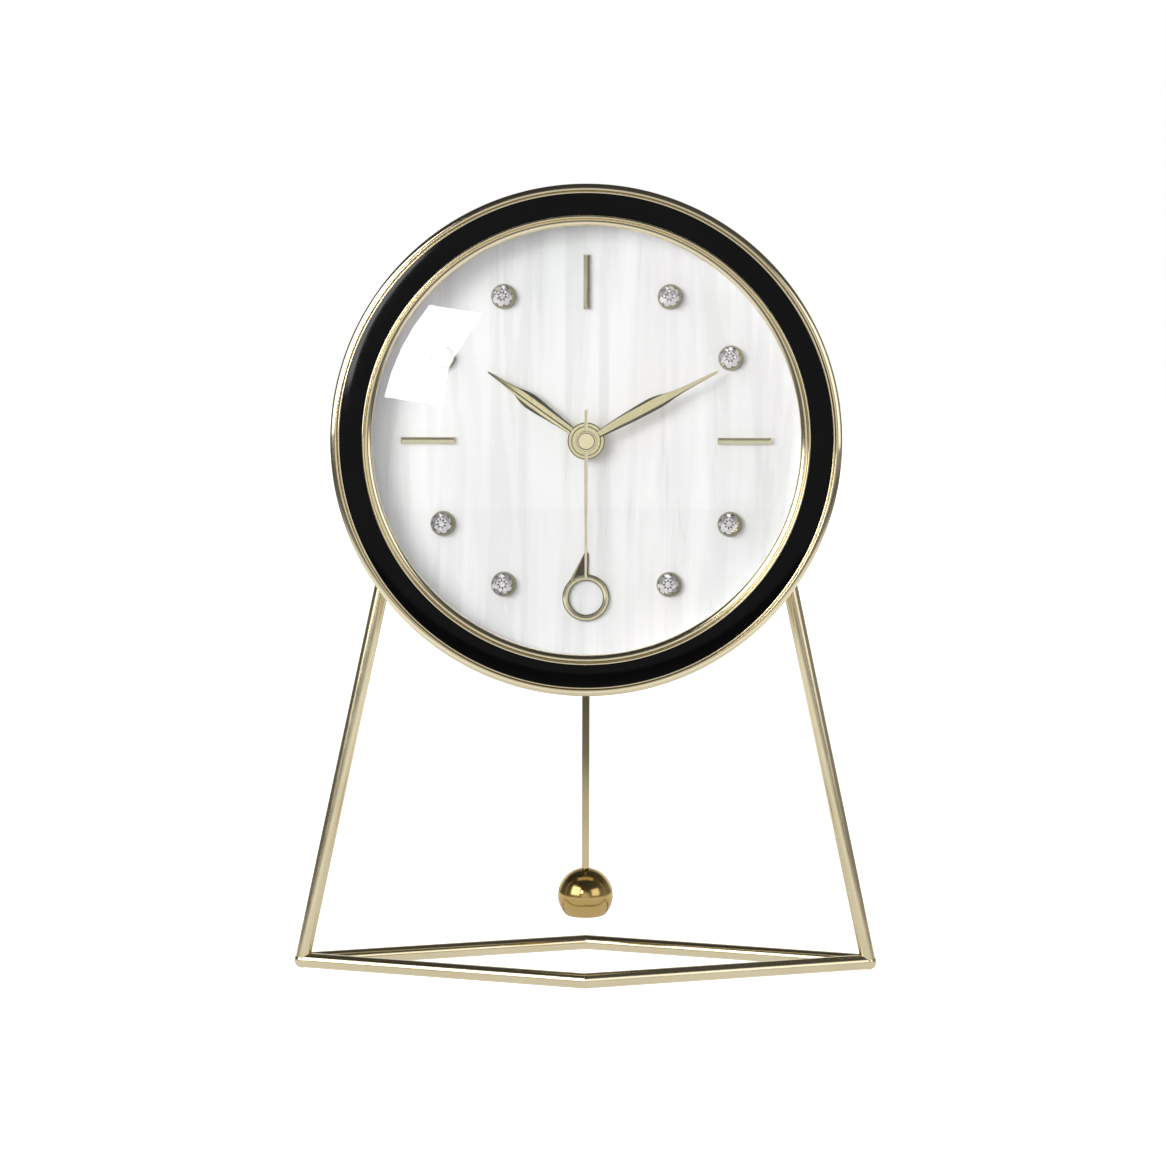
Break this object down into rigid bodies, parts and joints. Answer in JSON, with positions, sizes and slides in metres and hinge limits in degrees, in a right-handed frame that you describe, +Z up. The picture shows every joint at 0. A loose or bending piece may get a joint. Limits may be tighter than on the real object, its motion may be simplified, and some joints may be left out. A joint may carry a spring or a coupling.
{
  "type": "desk pendulum clock",
  "caption": "Round clock head on a welded rod stand with splayed legs and a rhombic base, with faceted hands under a domed glass and a ball pendulum hanging behind the head.",
  "frame": {"origin": "centre of the rod base at the surface it stands on, in the plane of the two legs", "axes": "+Z up the clock, +X to the right as the dial is read, and -Y out of the dial towards the reader"},
  "size_m": [0.21, 0.0784, 0.28],
  "materials": {
    "gold_plating": "pale champagne gold plating, polished",
    "black_lacquer": "gloss black lacquer",
    "glass": "clear domed mineral glass",
    "pearl": "white mother-of-pearl",
    "crystal": "clear faceted crystal",
    "white_plastic": "white moulded plastic",
    "black_plastic": "satin black moulded plastic",
    "natural_plastic": "unfilled acetal gear plastic",
    "ivory_plastic": "ivory gear plastic",
    "brass": "turned brass",
    "steel": "bright steel",
    "dial_aluminium": "plain sheet aluminium",
    "copper_wire": "enamelled copper wire",
    "magnet": "dark sintered magnet",
    "rubber": "black rubber",
    "circuit_board": "green circuit board laminate",
    "battery_jacket": "plain dark printed steel jacket"
  },
  "bodies": {
    "stand_and_head": {"base_rod_front_left": "gold_plating", "base_rod_front_right": "gold_plating", "base_rod_rear_left": "gold_plating", "base_rod_rear_right": "gold_plating", "leg_left": "gold_plating", "leg_right": "gold_plating", "mounting_plate_left": "gold_plating", "mounting_plate_right": "gold_plating", "stand_screws": "steel", "bezel_ring": "gold_plating", "band_ring": "black_lacquer", "inner_rim": "gold_plating", "housing_drum": "gold_plating", "rear_cover": "black_plastic", "cover_screws": "steel", "lens": "glass", "spacer_ring": "white_plastic", "dial_plate": "dial_aluminium", "pearl_face": "pearl", "hour_bars": "gold_plating", "numeral_six": "gold_plating", "stud_cups": "gold_plating", "stud_crystals": "crystal", "bushing": "brass", "bushing_nut": "brass", "bushing_washer": "brass", "rubber_washer": "rubber", "movement_front_case": "black_plastic", "movement_rear_case": "black_plastic", "circuit_board": "circuit_board", "quartz_can": "steel", "coil_core": "steel", "coil_bobbin": "white_plastic", "coil_winding": "copper_wire", "stator_yoke": "steel", "drive_bobbin": "white_plastic", "drive_winding": "copper_wire", "pivot_pin": "steel", "battery_contact_plus": "steel", "battery_contact_minus": "steel"},
    "hour_hand_and_wheel": {"hour_wheel": "natural_plastic", "hour_hand": "gold_plating"},
    "minute_hand_and_pinion": {"cannon_pinion": "ivory_plastic", "minute_hand": "gold_plating"},
    "second_hand_and_wheel": {"seconds_wheel": "ivory_plastic", "second_hand": "gold_plating"},
    "minute_wheel_body": {"minute_wheel": "natural_plastic"},
    "setting_knob_body": {"setting_knob": "black_plastic"},
    "centre_wheel_body": {"centre_wheel": "natural_plastic"},
    "third_wheel_body": {"third_wheel": "natural_plastic"},
    "fifth_wheel_body": {"fifth_wheel": "natural_plastic"},
    "rotor_body": {"rotor_pinion": "ivory_plastic", "rotor_magnet": "magnet"},
    "pendulum": {"pendulum_arm": "black_plastic", "pendulum_magnet": "magnet", "pendulum_hook": "brass", "pendulum_rod": "gold_plating", "pendulum_bob": "gold_plating"},
    "battery": {"battery_cell": "battery_jacket"}
  },
  "joints": [
    {"name": "minute_hand_turn", "type": "hinge", "parent": "stand_and_head", "child": "minute_hand_and_pinion", "pos_m": [0, 0, 0.1905], "axis": [0, 1, 0], "continuous": true},
    {"name": "hour_hand_turn", "type": "hinge", "parent": "stand_and_head", "child": "hour_hand_and_wheel", "pos_m": [0, 0, 0.1905], "axis": [0, 1, 0], "continuous": true},
    {"name": "minute_wheel_turn", "type": "hinge", "parent": "stand_and_head", "child": "minute_wheel_body", "pos_m": [-0.0084, 0, 0.1905], "axis": [0, 1, 0], "continuous": true},
    {"name": "setting_knob_turn", "type": "hinge", "parent": "stand_and_head", "child": "setting_knob_body", "pos_m": [-0.0168, 0, 0.1905], "axis": [0, 1, 0], "continuous": true},
    {"name": "second_hand_turn", "type": "hinge", "parent": "stand_and_head", "child": "second_hand_and_wheel", "pos_m": [0, 0, 0.1905], "axis": [0, 1, 0], "continuous": true},
    {"name": "third_wheel_turn", "type": "hinge", "parent": "stand_and_head", "child": "third_wheel_body", "pos_m": [0, 0, 0.19988], "axis": [0, 1, 0], "continuous": true},
    {"name": "centre_wheel_turn", "type": "hinge", "parent": "stand_and_head", "child": "centre_wheel_body", "pos_m": [0, 0, 0.1905], "axis": [0, 1, 0], "continuous": true},
    {"name": "fifth_wheel_turn", "type": "hinge", "parent": "stand_and_head", "child": "fifth_wheel_body", "pos_m": [0.00965, 0, 0.1888], "axis": [0, 1, 0], "continuous": true},
    {"name": "rotor_turn", "type": "hinge", "parent": "stand_and_head", "child": "rotor_body", "pos_m": [0.01827, 0, 0.18728], "axis": [0, 1, 0], "continuous": true},
    {"name": "pendulum_swing", "type": "hinge", "parent": "stand_and_head", "child": "pendulum", "pos_m": [0, 0, 0.15347], "axis": [0, 1, 0], "range_deg": [-8, 8]},
    {"name": "battery_slide", "type": "slide", "parent": "stand_and_head", "child": "battery", "axis": [0, 1, 0], "range_m": [0, 0.02]}
  ],
  "couplings": [
    {"joint": "hour_hand_turn", "follows": "minute_hand_turn", "ratio": 0.083333},
    {"joint": "minute_wheel_turn", "follows": "minute_hand_turn", "ratio": -0.33333},
    {"joint": "setting_knob_turn", "follows": "minute_hand_turn", "ratio": 1},
    {"joint": "third_wheel_turn", "follows": "second_hand_turn", "ratio": -0.13333},
    {"joint": "centre_wheel_turn", "follows": "second_hand_turn", "ratio": 0.016667},
    {"joint": "fifth_wheel_turn", "follows": "second_hand_turn", "ratio": -6},
    {"joint": "rotor_turn", "follows": "second_hand_turn", "ratio": 30}
  ]
}
